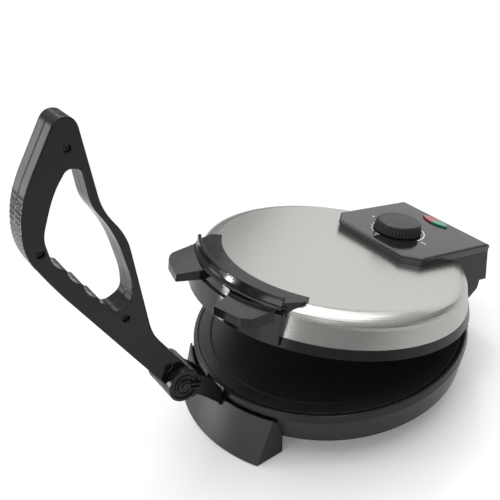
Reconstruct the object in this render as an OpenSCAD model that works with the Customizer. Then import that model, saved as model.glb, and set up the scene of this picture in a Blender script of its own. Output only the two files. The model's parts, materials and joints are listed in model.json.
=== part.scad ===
// Electric roti maker: a hinged press with two heated 10 inch plates, a press lever at the
// front and a control panel over the hinge at the rear.
// Frame: +Z up, the lever and lid handle towards -Y, the lid hinge towards +Y.
// The origin is the centre of the base on the surface it stands on.
// The lid is drawn shut and then turned open by lid_open about the hinge axis.

/* [Base] */
// Height of the rim above the table
rim_z = 60; // [56:1:70]
// Height of the plain band under the rim
band_h = 8.3; // [6:0.1:12]
// How far the band bells out from rim to crease
band_flare = 1; // [0:0.1:2]
// How far the side wall draws in from the crease to its lower edge
skirt_taper = 6.7; // [4:0.1:10]
// Height of the side wall's lower edge above the table
skirt_z = 22.8; // [18:0.1:26]
// Thickness of the moulded base walls
wall = 2.6; // [2:0.1:3.2]
// Width of the flat rim around the lower plate
rim_w = 4.2; // [3:0.1:6]
// Thickness of the bottom cover
cover_t = 2; // [1.5:0.1:2.5]
// Distance of the circle of case screws inside the rim
screw_inset = 15; // [14:0.5:17]

/* [Feet] */
// Half width of the front foot block at the table
foot_half_w = 72.5; // [66:0.5:80]
// Half width of the rear foot block at the table
rear_foot_half_w = 58; // [54:0.5:64]
// How much wider each side of a foot block is at its top
foot_spread = 4.5; // [0:0.5:8]
// How far the foot blocks stand out from the rim at the table
foot_reach = 22; // [18:0.5:26]
// How far the front block's top stays below the rim band
front_foot_drop = 1.7; // [1:0.1:3]
// How far the rear block's top stays below the rim band
rear_foot_drop = 11.7; // [10:0.1:14]
// Gap between the rim band and the front block's top edge, measured outwards
foot_top_gap = 3.8; // [3.2:0.1:5]
// Wall thickness of the foot blocks
foot_wall = 3; // [2.4:0.1:3.6]
// Radius of a rubber foot
pad_r = 7; // [5:0.5:8]
// How far a rubber foot stands below its block
pad_drop = 1.2; // [0.8:0.1:2]
// Distance of a rubber foot from the end of its block
pad_inset = 13.5; // [12:0.5:16]
// Thickness of the front foot's free upper edge
foot_lip = 1.8; // [1.4:0.1:2.2]
// Depth of a rubber foot's socket
pad_socket = 3; // [2:0.5:4]

/* [Plates] */
// Radius of the cooking face, half of 10 inches
cook_r = 127; // [115:1:140]
// Width of a plate's margin around its cooking face
margin_w = 13.6; // [12.5:0.1:16]
// Depth of the cooking face below the plate's margin
cook_dish = 0.8; // [0:0.1:1.5]
// Thickness of a plate under its cooking face
plate_t = 5.6; // [5:0.1:7]
// Thickness of a plate's margin
margin_t = 3.2; // [2.5:0.1:3.6]
// Drop of the lower plate's margin below the rim
plate_drop = 0.6; // [0.3:0.1:1]
// Gap between the two cooking faces with the lid shut
roti_gap = 2.4; // [1.6:0.1:3]
// Distance of the heating element's loop inside the edge of the cooking face
element_inset = 42; // [34:1:50]
// Radius of the heating element's tube
tube_r = 3.3; // [3:0.1:4]
// Height of the cast channel that holds the element
channel_h = 6; // [5:0.1:7]
// Width of the cast channel
channel_w = 12; // [10:0.5:14]
// Angle that the element's loop covers
element_sweep = 320; // [280:5:330]
// Distance of the pillars that carry a plate inside the edge of the cooking face
pillar_inset = 19; // [15:0.5:22]

/* [Lid] */
// How far the lid stands open
lid_open = 14.8; // [6:0.1:30]
// Distance of the hinge axis behind the rim
hinge_back = 8; // [7:0.5:10]
// Height of the hinge axis above the rim
hinge_up = 3; // [2:0.5:4]
// How far the lid's black ring reaches past the rim
ring_over = 0.5; // [0:0.1:1]
// Gap between the ring and the base rim with the lid shut
ring_gap = 3.8; // [3.5:0.1:5]
// Height of the black ring
ring_h = 9; // [8:0.1:11]
// Width of the ring's slope outside the steel cover
ring_slope_w = 3.1; // [2.6:0.1:4]
// How far the steel cover draws in from the ring to the foot of its shoulder
cover_draw = 4.5; // [3.5:0.1:6]
// Height of the foot of the shoulder above the ring
shoulder_h = 17.3; // [15:0.1:20]
// Width of the rounded shoulder, out to where the nearly flat top begins
shoulder_w = 16.9; // [14:0.1:20]
// Height of the crown's edge above the foot of the shoulder
crown_edge_h = 12.6; // [11:0.1:14]
// Rise of the crown from its edge to its centre
crown_rise = 2; // [1:0.1:4]
// Thickness of the steel cover
steel_t = 1; // [0.8:0.1:1.2]

/* [Lid handle] */
// Half angle that the handle spans
handle_half_a = 32.3; // [30:0.1:34]
// Thickness of the handle's apron in front of the ring
apron_t = 2.9; // [2.4:0.1:4]
// Distance of the ridge's top behind the apron's face
ridge_in = 6.9; // [6:0.1:8]
// How far the ridge's hollow face comes forward to its foot
ridge_foot = 3.2; // [2:0.1:4.5]
// Thickness of the ridge
ridge_t = 3.6; // [3:0.1:5]
// Height of the ridge above the crown's edge
ridge_h = 8.3; // [7:0.1:10]
// Width of the flange that lies on the steel behind the ridge's face
flange_w = 24.5; // [22:0.5:29]
// Thickness of the flange above the crown's edge
flange_t = 2.6; // [2:0.1:3.5]
// Distance of the flange's ends from the centre plane
flange_half_w = 79; // [76:0.5:80]
// Half angle that the ridge spans
ridge_half_a = 31; // [28:0.5:32]
// Half width of the gap between the two grip lobes at their roots
gap_half_w = 23; // [20:0.5:26]
// How much each lobe's inner side leans away from the gap
gap_flare = 10; // [4:0.5:12]
// Distance of the lobes' outer sides from the centre plane
lobe_half_w = 73.5; // [70:0.5:76]
// How far the lobes reach out from the apron's face
lobe_reach = 22.6; // [18:0.1:26]
// Thickness of the grip lobes at their front edges
lobe_t = 7.6; // [6.5:0.1:9]
// Downward slope of the lobes' top
lobe_slope = 10; // [7:0.5:13]
// Downward slope of the lobes' underside
lobe_under_slope = 4; // [2:0.5:6]

/* [Control housing] */
// Half width of the control panel
panel_half_w = 65; // [60:0.5:66]
// Length of the control panel from front to rear
panel_l = 118.6; // [112:0.1:124]
// How far the panel reaches behind the rim
panel_over = 18.6; // [17.4:0.1:20]
// Height of the panel's top above the crown's edge
panel_h = 10.6; // [10:0.1:13]
// Thickness of the panel at its edge
panel_t = 9.5; // [8.5:0.1:10]
// Size of the panel's cut front corners
panel_corner = 16.5; // [10:0.5:20]
// Radius of the panel's rounded top edges
panel_edge_r = 3; // [1.5:0.1:4]
// Thickness of the panel's lip over the walls below it
panel_lip_t = 4.6; // [4:0.1:6]
// How far the lip stands out from the walls below it
panel_lip = 1; // [0.4:0.1:1.6]
// Radius of the panel's rounded rear edge
panel_round = 6; // [3:0.5:8]
// Lean of the housing's rear wall, from its top to its lower edge
rear_lean = 8.6; // [6:0.1:10]
// Wall thickness of the housing
housing_wall = 3; // [2.4:0.1:3.5]
// Distance of the knob's axis behind the panel's front edge
knob_in = 41.5; // [38:0.5:46]
// Radius of the knob's top
knob_top_r = 22.8; // [20:0.1:24]
// Radius of the knob's lower edge
knob_r = 25.8; // [24.2:0.1:28]
// Height of the knob
knob_h = 11.5; // [10:0.1:16]
// Number of grip flutes around the knob
knob_flutes = 46; // [30:1:48]
// Depth of a grip flute at the knob's lower edge
flute_d = 0.7; // [0.4:0.1:1]

/* [Hinge] */
// Radius of the hinge pins
hinge_pin_r = 3; // [2.5:0.1:3.5]
// Outer radius of the base's hinge knuckles
knuckle_r = 9.5; // [8:0.1:10]
// Radius of the lid's hinge ears around the pin
ear_r = 8.6; // [7.5:0.1:9]
// Radius of the rounded tip of a lid ear
ear_tip_r = 5; // [4:0.5:6]
// Inner end of a knuckle, from the centre plane
knuckle_x0 = 38; // [36:0.5:42]
// Outer end of a knuckle
knuckle_x1 = 50; // [48:0.5:51]
// Inner end of a lid ear
ear_x0 = 51.5; // [51.3:0.1:54]

/* [Lever] */
// Distance of the lever's pivot in front of the rim
pivot_out = 40.3; // [38:0.1:43]
// Height of the lever's pivot above the rim
pivot_up = 31.4; // [29:0.1:34]
// Height of the lever above its pivot
lever_rise = 287.6; // [260:0.5:300]
// How far the lever leans out from its pivot
lever_lean = 105.7; // [95:0.1:112]
// Radius of the lever's hub
hub_r = 17; // [15.5:0.1:18]
// Thickness of the lever
lever_w = 25; // [20:0.5:25]
// Gap between the lever and each arm of its fork
fork_gap = 0.7; // [0.4:0.1:1]
// Thickness of a fork arm
arm_t = 5.3; // [4:0.1:6]
// Thickness of the round caps on the fork
cap_t = 3; // [2.4:0.1:4]
// Radius of the pivot pin
pivot_pin_r = 4; // [3:0.1:5]
// Thickness of the bush in the hub
bush_t = 2.5; // [1.5:0.1:3]
// Number of finger scallops in the grip
scallops = 4; // [3:1:5]
// Depth of a finger scallop
scallop_d = 3; // [1.5:0.1:3.5]
// Number of palm ribs on the back of the grip
palm_ribs = 18; // [10:2:20]
// Height of a palm rib
palm_rib_h = 0.35; // [0.2:0.05:0.6]

/* [Fits] */
// Clearance around a shaft that turns in a hole
running_fit = 0.05; // [0.02:0.01:0.1]
// Clearance around a piece that is dropped into its seat
seat_fit = 0.2; // [0.1:0.05:0.3]
// Radius of the shank of a case screw
screw_r = 1.5; // [1.2:0.1:2]
// Radius of the head of a case screw
screw_head_r = 3.2; // [2.8:0.1:3.6]
// Height of the head of a case screw
screw_head_h = 2; // [1.6:0.1:2.6]
// Radius of the mains cord that the inlet takes
cord_r = 3.6; // [3:0.1:4]

/* [Hidden] */
$fn = 96;
eps = 0.01;
big = 400;

// Heights and radii of the base
plate_edge_r = cook_r + margin_w;
rim_in_r = plate_edge_r + seat_fit;
rim_r = rim_in_r + rim_w;
screw_circle_r = rim_r - screw_inset;
band_z = rim_z - band_h;
band_r = rim_r + band_flare;
skirt_r = band_r - skirt_taper;
margin_z = rim_z - plate_drop;
cook_z = margin_z - cook_dish;
ledge_z = margin_z - margin_t;
ledge_t = 2.4;
ledge_in_r = rim_in_r - 7;
flange_z = skirt_z + cover_t;
flange_t_base = 3;
screw_reach = 7;
flange_in = screw_circle_r - 8;
cover_edge_r = skirt_r - wall - seat_fit;
plate_under_z = cook_z - plate_t;

// Radii and heights of the lid, drawn shut
hinge_y = rim_r + hinge_back;
hinge_z = rim_z + hinge_up;
ring_r = rim_r + ring_over;
cover_r = ring_r - ring_slope_w;
shoulder_r = cover_r - cover_draw;
crown_r = shoulder_r - shoulder_w;
upper_cook_z = cook_z + roti_gap;
ring_z = rim_z + ring_gap;
cover_z = ring_z + ring_h;
shoulder_z = cover_z + shoulder_h;
crown_z = shoulder_z + crown_edge_h;
ring_in_r = plate_edge_r - 3.2;
upper_edge_r = ring_in_r - seat_fit;
upper_margin_z = upper_cook_z - cook_dish;
upper_ledge_z = ring_z + 1.4;
upper_back_z = upper_cook_z + plate_t;

// Lid handle and control panel
apron_r = ring_r + apron_t;
ridge_r = apron_r - ridge_in;
flange_in_r = ridge_r - flange_w;
lobe_reach_r = apron_r + lobe_reach;
panel_z = crown_z + panel_h;
panel_under_z = panel_z - panel_t;
panel_rear_y = rim_r + panel_over;
panel_front_y = panel_rear_y - panel_l;
knob_y = panel_front_y + knob_in;

// Plates, reflectors and what holds them
element_r = cook_r - element_inset;
pillar_circle_r = cook_r - pillar_inset;
reflector_t = 0.8;
reflector_gap = 11;
reflector_r = cook_r + 3;
pillar_r = 4;
pillar_neck_r = 2.4;
leg_a = (360 - element_sweep) / 2;
leg_len = 9;
leg_r = 2;

// Feet
foot_r = rim_r + foot_reach;
foot_top_r = band_r + foot_top_gap;
front_foot_z = band_z - front_foot_drop;
rear_foot_z = band_z - rear_foot_drop;
foot_slope = (foot_r - foot_top_r) / front_foot_z;
function foot_face_r(z) = foot_r - foot_slope * z;
function skirt_face_r(z) = skirt_r + (z - skirt_z) * skirt_taper / (band_z - skirt_z);
deck_t = 3;
deck_z = skirt_z - deck_t;
deck_in_r = screw_circle_r - 6;
foot_screw_a = 20.5;
cover_screw_a = 66;
notch_z = front_foot_z - 6.5;
notch_half_w = lever_w / 2 + fork_gap + arm_t + 1;
inlet_z = 19;
inlet_boss_r = 9.5;
inlet_face_y = foot_face_r(inlet_z - inlet_boss_r) + 0.3;
bushing_r = cord_r + 2.2;
bushing_flange = 2;

// Hinge and the housing over it
housing_base_z = hinge_z + 6;
housing_front_y = panel_rear_y - 63.6;
housing_half_w = panel_half_w - panel_lip;
ear_bore_end = housing_half_w - 2;

// Lever and its fork
pivot_y = rim_r + pivot_out;
pivot_z = rim_z + pivot_up;
fork_in = lever_w / 2 + fork_gap;
fork_out = fork_in + arm_t;
fork_half_w = fork_out + cap_t;
bush_r = pivot_pin_r + running_fit + bush_t;
pin_head_r = pivot_pin_r + 3;
pin_head_t = 2;
pin_tail = 4.5;
cap_groove = 1.6;
bracket_t = 3;
bracket_screw_x = 9;
bracket_screw_y = -(screw_circle_r - 4);
arm_back_y = -band_r - 0.7;
arm_leg_y = -foot_face_r(notch_z) + foot_wall + 1.4;
counterbore_r = 3.6;
counterbore_d = 5;
lever_screw_l = 14;

// Corners of the lever's outline from its pivot, [y, z, how far from the corner its rounding starts],
// drawn for a lever of drawn_lean by drawn_rise
drawn_lean = 105.7;
drawn_rise = 287.6;
function lever_at(p, n = 6) = [p[0] * lever_lean / drawn_lean, p[1] * lever_rise / drawn_rise, p[2], n];
lever_outline = [[13.3, 4.6, 0], [-17.7, 66.6, 12], [-20.7, 170.6, 14], [-36.4, 202.6, 13],
    [-39.7, 283.6, 10], [-54.7, 287.6, 8], [-97.7, 230.6, 24], [-105.7, 189.6, 18], [-88.7, 148.6, 18],
    [-15.7, 4.6, 0], [-0.7, -7.4, 0]];
// Corners of the hand opening, in the same form
grip_outline = [[-44.9, 241.6, 5], [-44.4, 208.6, 9], [-34.2, 186.6, 10], [-29, 166.6, 8], [-25, 130.6, 9],
    [-27.7, 109.6, 9], [-45.5, 104.6, 6], [-86.5, 181.9, 2], [-87.7, 197.6, 9], [-71.7, 229.6, 16],
    [-55.7, 246.6, 6]];
// The grip's corner that the scallops follow, and where they start and end along that side
scallop_corner = 6;
scallop_from = 0.03;
scallop_to = 1;
// The palm ribs run over two rounded corners from this one on
palm_corner = 6;
// Points at the upper end of those corners that stay without ribs
palm_skip = 6;
lever_screw_at = [[-51.7, 261.6, 0], [-92.7, 185.6, 0], [-37.7, 94.6, 0], [-9.4, 22.5, 0]];
// Heel under the hub and the crossbar it rests on, as angles about the pivot
heel_r = hub_r + 7;
heel_from = -100;
heel_to = -72;
heel_gap = 0.35;

// Knob and thermostat
knob_z = panel_z + 1;
spindle_r = 3;
neck_r = 5.2;
thermostat_half = [16, 13];
thermostat_h = 13;
lens_r = 29.6;
lens_off = 23.1;
lens_y = panel_rear_y - 15.6;
lens_x = -2.5;
lens_split = -2.5;
lens_end = 16.5;
lens_h = 1.8;
lens_sink = 1.5;
lamp_r = 3;
lamp_x = 8;
housing_screw_at = [panel_half_w - 11, panel_rear_y - 13.6];
boss_r = 5;
radial_screw_z = shoulder_z - 6;
radial_screw_a = 19;

// ---- Outlines and helpers ----

// A smooth bend of n steps from a to c that heads for b
function bend(a, b, c, n) =
    [for (i = [0:n]) let (s = i / n) (1 - s) * (1 - s) * a + 2 * s * (1 - s) * b + s * s * c];
function step_to(p, q, t) = p + (q - p) * min(t / norm(q - p), 0.48);
// An outline with each corner [y, z, t] rounded off, in n steps or in as many as a corner's fourth value says
function rounded(pts, n = 6) = [for (i = [0:len(pts) - 1]) let (
    here = [pts[i][0], pts[i][1]],
    before = pts[(i + len(pts) - 1) % len(pts)],
    after = pts[(i + 1) % len(pts)],
    t = pts[i][2],
    a = step_to(here, [before[0], before[1]], t),
    c = step_to(here, [after[0], after[1]], t))
    each (t == 0 ? [here] : bend(a, here, c, len(pts[i]) > 3 ? pts[i][3] : n))];
function unit(v) = v / norm(v);
// An outline with its points moved inwards by d, for points that run counterclockwise
function shrunk(pts, d) = [for (i = [0:len(pts) - 1]) let (
    u = unit(pts[i] - pts[(i + len(pts) - 1) % len(pts)]),
    v = unit(pts[(i + 1) % len(pts)] - pts[i]),
    m = unit([-u[1] - v[1], u[0] + v[0]]))
    pts[i] + m * d / max(0.7, m * [-u[1], u[0]])];
module at_angle(a, r) { rotate([0, 0, a]) translate([0, -r, 0]) children(); }
module along_x(x0, x1) { translate([x0, 0, 0]) rotate([90, 0, 90]) linear_extrude(x1 - x0) children(); }
module mirrored_x() { children(); mirror([1, 0, 0]) children(); }
module disc(r, z0, z1) { translate([0, 0, z0]) cylinder(r = r, h = z1 - z0); }
module x_rod(r, x0, x1) { translate([x0, 0, 0]) rotate([0, 90, 0]) cylinder(r = r, h = x1 - x0); }
module at_hinge() { translate([0, hinge_y, hinge_z]) children(); }
module at_pivot() { translate([0, -pivot_y, pivot_z]) children(); }

// Turns a piece drawn on the shut lid to where the open lid holds it
module on_lid() {
    at_hinge() rotate([-lid_open, 0, 0]) translate([0, -hinge_y, -hinge_z]) children();
}

// A case screw with its head down at z = 0 and its shank upwards
module screw(length) {
    difference() {
        union() {
            translate([0, 0, -screw_head_h]) cylinder(r = screw_head_r, h = screw_head_h);
            cylinder(r = screw_r, h = length);
        }
        for (a = [0, 90]) rotate([0, 0, a]) translate([-1.8, -0.35, -screw_head_h - eps]) cube([3.6, 0.7, 1]);
    }
}

// The solid inside the base's outer surface
module base_envelope() {
    rotate_extrude() polygon([[0, skirt_z], [skirt_r, skirt_z], [band_r, band_z], [rim_r, rim_z - 1],
        [rim_r - 1, rim_z], [0, rim_z]]);
}

// The lid's steel surface from the crown to the ring, moved inwards by inset
function cover_line(inset) = concat(
    [for (i = [0:4]) let (r = crown_r * i / 4) [r, crown_z + crown_rise * (1 - pow(r / crown_r, 2)) - inset]],
    bend([crown_r + 1, crown_z - inset], [shoulder_r - 1 - inset, crown_z - 1.5 - inset],
        [shoulder_r - inset, shoulder_z], 8),
    [[cover_r - inset, cover_z]]);

// The solid inside the shut lid's outer surface
module lid_envelope() {
    rotate_extrude() polygon(concat(cover_line(0),
        [[cover_r + 0.4, cover_z], [ring_r, ring_z], [0, ring_z]]));
}

// ---- Base ----

module base_housing() {
    color([0.10, 0.10, 0.11]) difference() {
        union() {
            rotate_extrude() polygon([[skirt_r, skirt_z], [band_r, band_z], [rim_r, rim_z - 1],
                [rim_r - 1, rim_z], [rim_in_r, rim_z], [rim_in_r, ledge_z], [ledge_in_r, ledge_z],
                [ledge_in_r, ledge_z - ledge_t], [ledge_in_r + 3.5, ledge_z - ledge_t],
                [band_r - wall, ledge_z - ledge_t - 3],
                [skirt_face_r(flange_z + flange_t_base) - wall, flange_z + flange_t_base],
                [flange_in, flange_z + flange_t_base], [flange_in, flange_z],
                [skirt_r - wall, flange_z], [skirt_r - wall, skirt_z]]);
            for (a = base_screw_angles) at_angle(a, screw_circle_r) disc(4, flange_z, flange_z + 10);
            for (x = [-bracket_screw_x, bracket_screw_x])
                translate([x, bracket_screw_y, 0]) disc(4, flange_z, flange_z + 10);
        }
        for (a = base_screw_angles) at_angle(a, screw_circle_r) disc(screw_r, flange_z - eps, flange_z + 8);
        for (x = [-bracket_screw_x, bracket_screw_x])
            translate([x, bracket_screw_y, 0]) disc(screw_r, flange_z - eps, flange_z + 8);
    }
}
foot_screw_angles = [-foot_screw_a, foot_screw_a, 180 - foot_screw_a, 180 + foot_screw_a];
side_screw_angles = [-cover_screw_a, cover_screw_a, 180 - cover_screw_a, 180 + cover_screw_a];
base_screw_angles = concat(foot_screw_angles, side_screw_angles);

module base_bottom_cover() {
    vent_from = 40;
    vent_to = 72;
    color([0.42, 0.43, 0.45]) difference() {
        disc(cover_edge_r, skirt_z, flange_z);
        for (a = [0:20:340]) rotate([0, 0, a]) translate([vent_from, -1.6, skirt_z - eps])
            cube([vent_to - vent_from, 3.2, cover_t + 1]);
        for (a = base_screw_angles) at_angle(a, screw_circle_r)
            disc(screw_r + seat_fit, skirt_z - 1, flange_z + 1);
        for (x = [-bracket_screw_x, bracket_screw_x])
            translate([x, bracket_screw_y, 0]) disc(screw_r + seat_fit, skirt_z - 1, flange_z + 1);
    }
}

// A block between the side wall and the flared outer face, thinned by t on its outer faces
module foot_solid(half_w, top_z, t, z0, back) {
    half = half_w - t;
    spread = foot_spread * top_z / front_foot_z;
    intersection() {
        rotate_extrude() polygon([[back, z0], [foot_face_r(z0) - t, z0],
            [foot_face_r(top_z - t) - t, top_z - t], [back, top_z - t]]);
        rotate([90, 0, 0]) linear_extrude(big) polygon([[-half, z0], [half, z0], [half + spread, top_z],
            [-half - spread, top_z]]);
    }
}
module pad_places(half_w) {
    pad_x = half_w - pad_inset;
    pad_y = sqrt(pow(foot_r - foot_wall - pad_r, 2) - pow(pad_x, 2)) - 4;
    for (x = [-pad_x, pad_x]) translate([x, -pad_y, 0]) children();
}
// A foot block as a shell, open underneath, with a deck that is screwed under the base
module foot_shell(half_w, top_z) {
    difference() {
        union() {
            difference() {
                foot_solid(half_w, top_z, 0, pad_drop, skirt_r + 0.7);
                difference() {
                    foot_solid(half_w, top_z, foot_wall, pad_drop - 1, deck_in_r);
                    pad_places(half_w) disc(pad_r + 2.5, pad_drop, pad_drop + pad_socket + 3);
                }
            }
            intersection() {
                difference() {
                    disc(foot_face_r(skirt_z) - 1, deck_z, skirt_z);
                    disc(deck_in_r, deck_z - 1, skirt_z + 1);
                }
                translate([1 - half_w, -big, deck_z]) cube([2 * half_w - 2, big, deck_t]);
            }
        }
        base_envelope();
        pad_places(half_w) disc(pad_r - 2, -1, pad_drop + pad_socket);
        for (a = [-foot_screw_a, foot_screw_a]) at_angle(a, screw_circle_r)
            disc(screw_r + seat_fit, deck_z - 1, skirt_z + 1);
    }
}

module front_foot() {
    color([0.16, 0.16, 0.17]) difference() {
        foot_shell(foot_half_w, front_foot_z);
        // slot behind the free upper edge
        disc(foot_top_r - foot_lip, front_foot_z - foot_wall - 1, big);
        // notch for the fork, and the way down for its legs
        translate([-notch_half_w, -big, notch_z]) cube([2 * notch_half_w, big, big]);
        translate([-notch_half_w, -foot_face_r(deck_z) + 4, deck_z - 1])
            cube([2 * notch_half_w, 26, deck_t + 2]);
        for (x = [-bracket_screw_x, bracket_screw_x])
            translate([x, bracket_screw_y, 0]) disc(screw_r + seat_fit, deck_z - 1, skirt_z + 1);
    }
}

// Side view of a hinge knuckle and its web down to the foot block
module knuckle_profile() {
    web_a = 20;
    translate([hinge_y, hinge_z]) circle(r = knuckle_r);
    polygon([[hinge_y + knuckle_r * cos(web_a), hinge_z - knuckle_r * sin(web_a)],
        [hinge_y - 2, rear_foot_z - 4], [skirt_r - 20, rear_foot_z - 4], [skirt_r - 20, band_z - 2],
        [hinge_y - knuckle_r * cos(web_a), hinge_z - knuckle_r * sin(web_a)]]);
}
module rear_foot() {
    boss_l = 10;
    color([0.13, 0.13, 0.14]) difference() {
        union() {
            rotate([0, 0, 180]) foot_shell(rear_foot_half_w, rear_foot_z);
            difference() {
                union() {
                    mirrored_x() along_x(knuckle_x0, knuckle_x1) knuckle_profile();
                    translate([0, inlet_face_y, inlet_z]) rotate([90, 0, 0])
                        cylinder(r = inlet_boss_r, h = boss_l);
                }
                base_envelope();
            }
        }
        at_hinge() x_rod(hinge_pin_r, -big, big);
        translate([0, inlet_face_y + 1, inlet_z]) rotate([90, 0, 0]) cylinder(r = bushing_r, h = boss_l + 4);
    }
}

module rubber_feet() {
    color([0.07, 0.07, 0.07]) for (turn = [0, 180]) rotate([0, 0, turn])
        pad_places(turn == 0 ? foot_half_w : rear_foot_half_w) {
        disc(pad_r, 0, pad_drop);
        disc(pad_r - 2, pad_drop, pad_drop + pad_socket);
    }
}

module base_screws() {
    color([0.6, 0.6, 0.62]) {
        for (a = foot_screw_angles) at_angle(a, screw_circle_r) translate([0, 0, deck_z])
            screw(flange_z + screw_reach - deck_z);
        for (a = side_screw_angles) at_angle(a, screw_circle_r) translate([0, 0, skirt_z])
            screw(flange_z + screw_reach - skirt_z);
    }
}

module cord_bushing() {
    color([0.05, 0.05, 0.05]) translate([0, inlet_face_y + bushing_flange, inlet_z]) rotate([90, 0, 0])
        difference() {
            union() {
                cylinder(r = inlet_boss_r - 0.5, h = bushing_flange);
                cylinder(r = bushing_r, h = bushing_flange + 12);
            }
            translate([0, 0, -1]) cylinder(r = cord_r, h = 20);
        }
}

// Half section of a plate, margin upwards at z = 0, the cooking face cook_dish below it
module plate_section(edge_r, edge_t) {
    difference() {
        polygon([[0, -cook_dish], [cook_r - 1.5, -cook_dish], [cook_r + 0.5, 0], [edge_r - 0.8, 0],
            [edge_r, -0.8], [edge_r, -edge_t], [cook_r + 3.5, -edge_t], [cook_r, -cook_dish - plate_t],
            [element_r + channel_w / 2 + 1, -cook_dish - plate_t],
            [element_r + channel_w / 2, -cook_dish - plate_t - channel_h],
            [element_r - channel_w / 2, -cook_dish - plate_t - channel_h],
            [element_r - channel_w / 2 - 1, -cook_dish - plate_t], [0, -cook_dish - plate_t]]);
        translate([element_r, element_drop]) circle(r = tube_r);
        translate([element_r - tube_r, element_drop - channel_h]) square([2 * tube_r, channel_h]);
    }
}
element_drop = -cook_dish - plate_t - channel_h / 2 + 0.6;

module lower_plate() {
    color([0.05, 0.05, 0.05]) translate([0, 0, margin_z]) rotate_extrude()
        plate_section(plate_edge_r, margin_t);
}

// A tubular element: a loop, two cold legs and their flat terminals, legs downwards
module element() {
    rotate([0, 0, 90 + leg_a]) rotate_extrude(angle = element_sweep) translate([element_r, 0])
        circle(r = tube_r - running_fit);
    for (a = [-leg_a, leg_a]) rotate([0, 0, 90 + a]) translate([element_r, 0, 0]) {
        translate([0, 0, -leg_len]) cylinder(r = leg_r, h = leg_len);
        translate([-0.4, -3, -leg_len - 8]) cube([0.8, 6, 8.5]);
    }
}
module lower_heating_element() {
    color([0.45, 0.42, 0.40]) translate([0, 0, margin_z + element_drop]) element();
}

// A pressed dish, flat at z = 0 with its turned-out rim at z = rise
module reflector(rise, rim) {
    t = reflector_t;
    difference() {
        rotate_extrude() polygon([[0, 0], [reflector_r - 6, 0], [reflector_r, rise - t], [rim, rise - t],
            [rim, rise], [reflector_r - 0.8, rise], [reflector_r - 6.8, t], [0, t]]);
        for (a = [0, 120, 240]) at_angle(a, pillar_circle_r) disc(pillar_neck_r + seat_fit, -1, t + 1);
        for (a = [-leg_a, leg_a]) rotate([0, 0, 90 + a]) translate([element_r, 0, 0]) disc(5, -1, t + 1);
    }
}
lower_reflector_z = plate_under_z - reflector_gap;
module lower_reflector() {
    color([0.78, 0.78, 0.76]) translate([0, 0, lower_reflector_z])
        reflector(ledge_z - ledge_t - lower_reflector_z, ledge_in_r + 2.5);
}
module lower_plate_pillars() {
    color([0.62, 0.62, 0.64]) for (a = [0, 120, 240]) at_angle(a, pillar_circle_r) {
        disc(pillar_r, flange_z, lower_reflector_z);
        disc(pillar_neck_r, lower_reflector_z, plate_under_z);
    }
}
module thermal_fuse() {
    color([0.85, 0.83, 0.78]) translate([element_r - 40, 0, plate_under_z - 3]) {
        rotate([90, 0, 0]) translate([0, 0, -9]) cylinder(r = 3, h = 18);
        for (y = [-6, 6]) translate([-6, y - 1.5, 2.2]) cube([12, 3, 0.8]);
    }
}
module base_terminal_block() {
    color([0.90, 0.88, 0.82]) translate([-20, element_r - 7, flange_z]) difference() {
        cube([40, 14, 10]);
        for (x = [7, 20, 33]) {
            translate([x, -1, 5]) rotate([-90, 0, 0]) cylinder(r = 1.8, h = 20);
            translate([x, 7, 6]) cylinder(r = 1.6, h = 5);
        }
    }
}
module hinge_pins() {
    color([0.68, 0.68, 0.70]) mirrored_x() at_hinge() x_rod(hinge_pin_r, knuckle_x0, ear_bore_end - 0.5);
}

// ---- Fork that carries the lever ----

// Side view of one fork arm, in y and z: the eye, the arm and the leg down to the deck plate
module arm_profile() {
    leg_foot_z = deck_z - bracket_t;
    // corners near the eye, from the pivot
    top = [11.3, 6.6];
    shoulder = [31.5, -15.5];
    elbow = [31, -41.5];
    under = [7.3, -14.4];
    translate([-pivot_y, pivot_z]) circle(r = hub_r);
    polygon(rounded([[top[0] - pivot_y, pivot_z + top[1], 0],
        [shoulder[0] - pivot_y, pivot_z + shoulder[1], 8],
        [arm_back_y - 1.2, band_z + 13, 6], [arm_back_y, band_z + 3, 0], [arm_back_y, band_z - 2, 0],
        [-skirt_face_r(notch_z) - 0.6, notch_z, 0], [-skirt_r - 1.4, skirt_z + 3, 0],
        [-skirt_r - 1.4, leg_foot_z, 0], [arm_leg_y, leg_foot_z, 0], [arm_leg_y, notch_z + 0.2, 0],
        [-foot_face_r(notch_z) - 0.3, notch_z + 0.7, 0],
        [elbow[0] - pivot_y, pivot_z + elbow[1], 6],
        [under[0] - pivot_y, pivot_z + under[1], 0]]));
}
module lever_bracket() {
    plate_l = arm_leg_y + deck_in_r + 6;
    color([0.08, 0.08, 0.09]) difference() {
        union() {
            mirrored_x() along_x(fork_in, fork_out) arm_profile();
            translate([-fork_out, arm_leg_y, deck_z - bracket_t])
                cube([2 * fork_out, 12 - plate_l, bracket_t]);
            // crossbar that the lever's heel rests on
            at_pivot() rotate([heel_to, 0, 0]) translate([-fork_in - 1, hub_r + 1.2, heel_gap])
                cube([2 * fork_in + 2, 7.5, 7]);
        }
        at_pivot() x_rod(pivot_pin_r, -big, big);
        for (x = [-bracket_screw_x, bracket_screw_x])
            translate([x, bracket_screw_y, 0]) disc(screw_r + seat_fit, 0, skirt_z);
    }
}
module bracket_screws() {
    color([0.6, 0.6, 0.62]) for (x = [-bracket_screw_x, bracket_screw_x])
        translate([x, bracket_screw_y, deck_z - bracket_t])
            screw(flange_z + screw_reach - deck_z + bracket_t);
}
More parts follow.
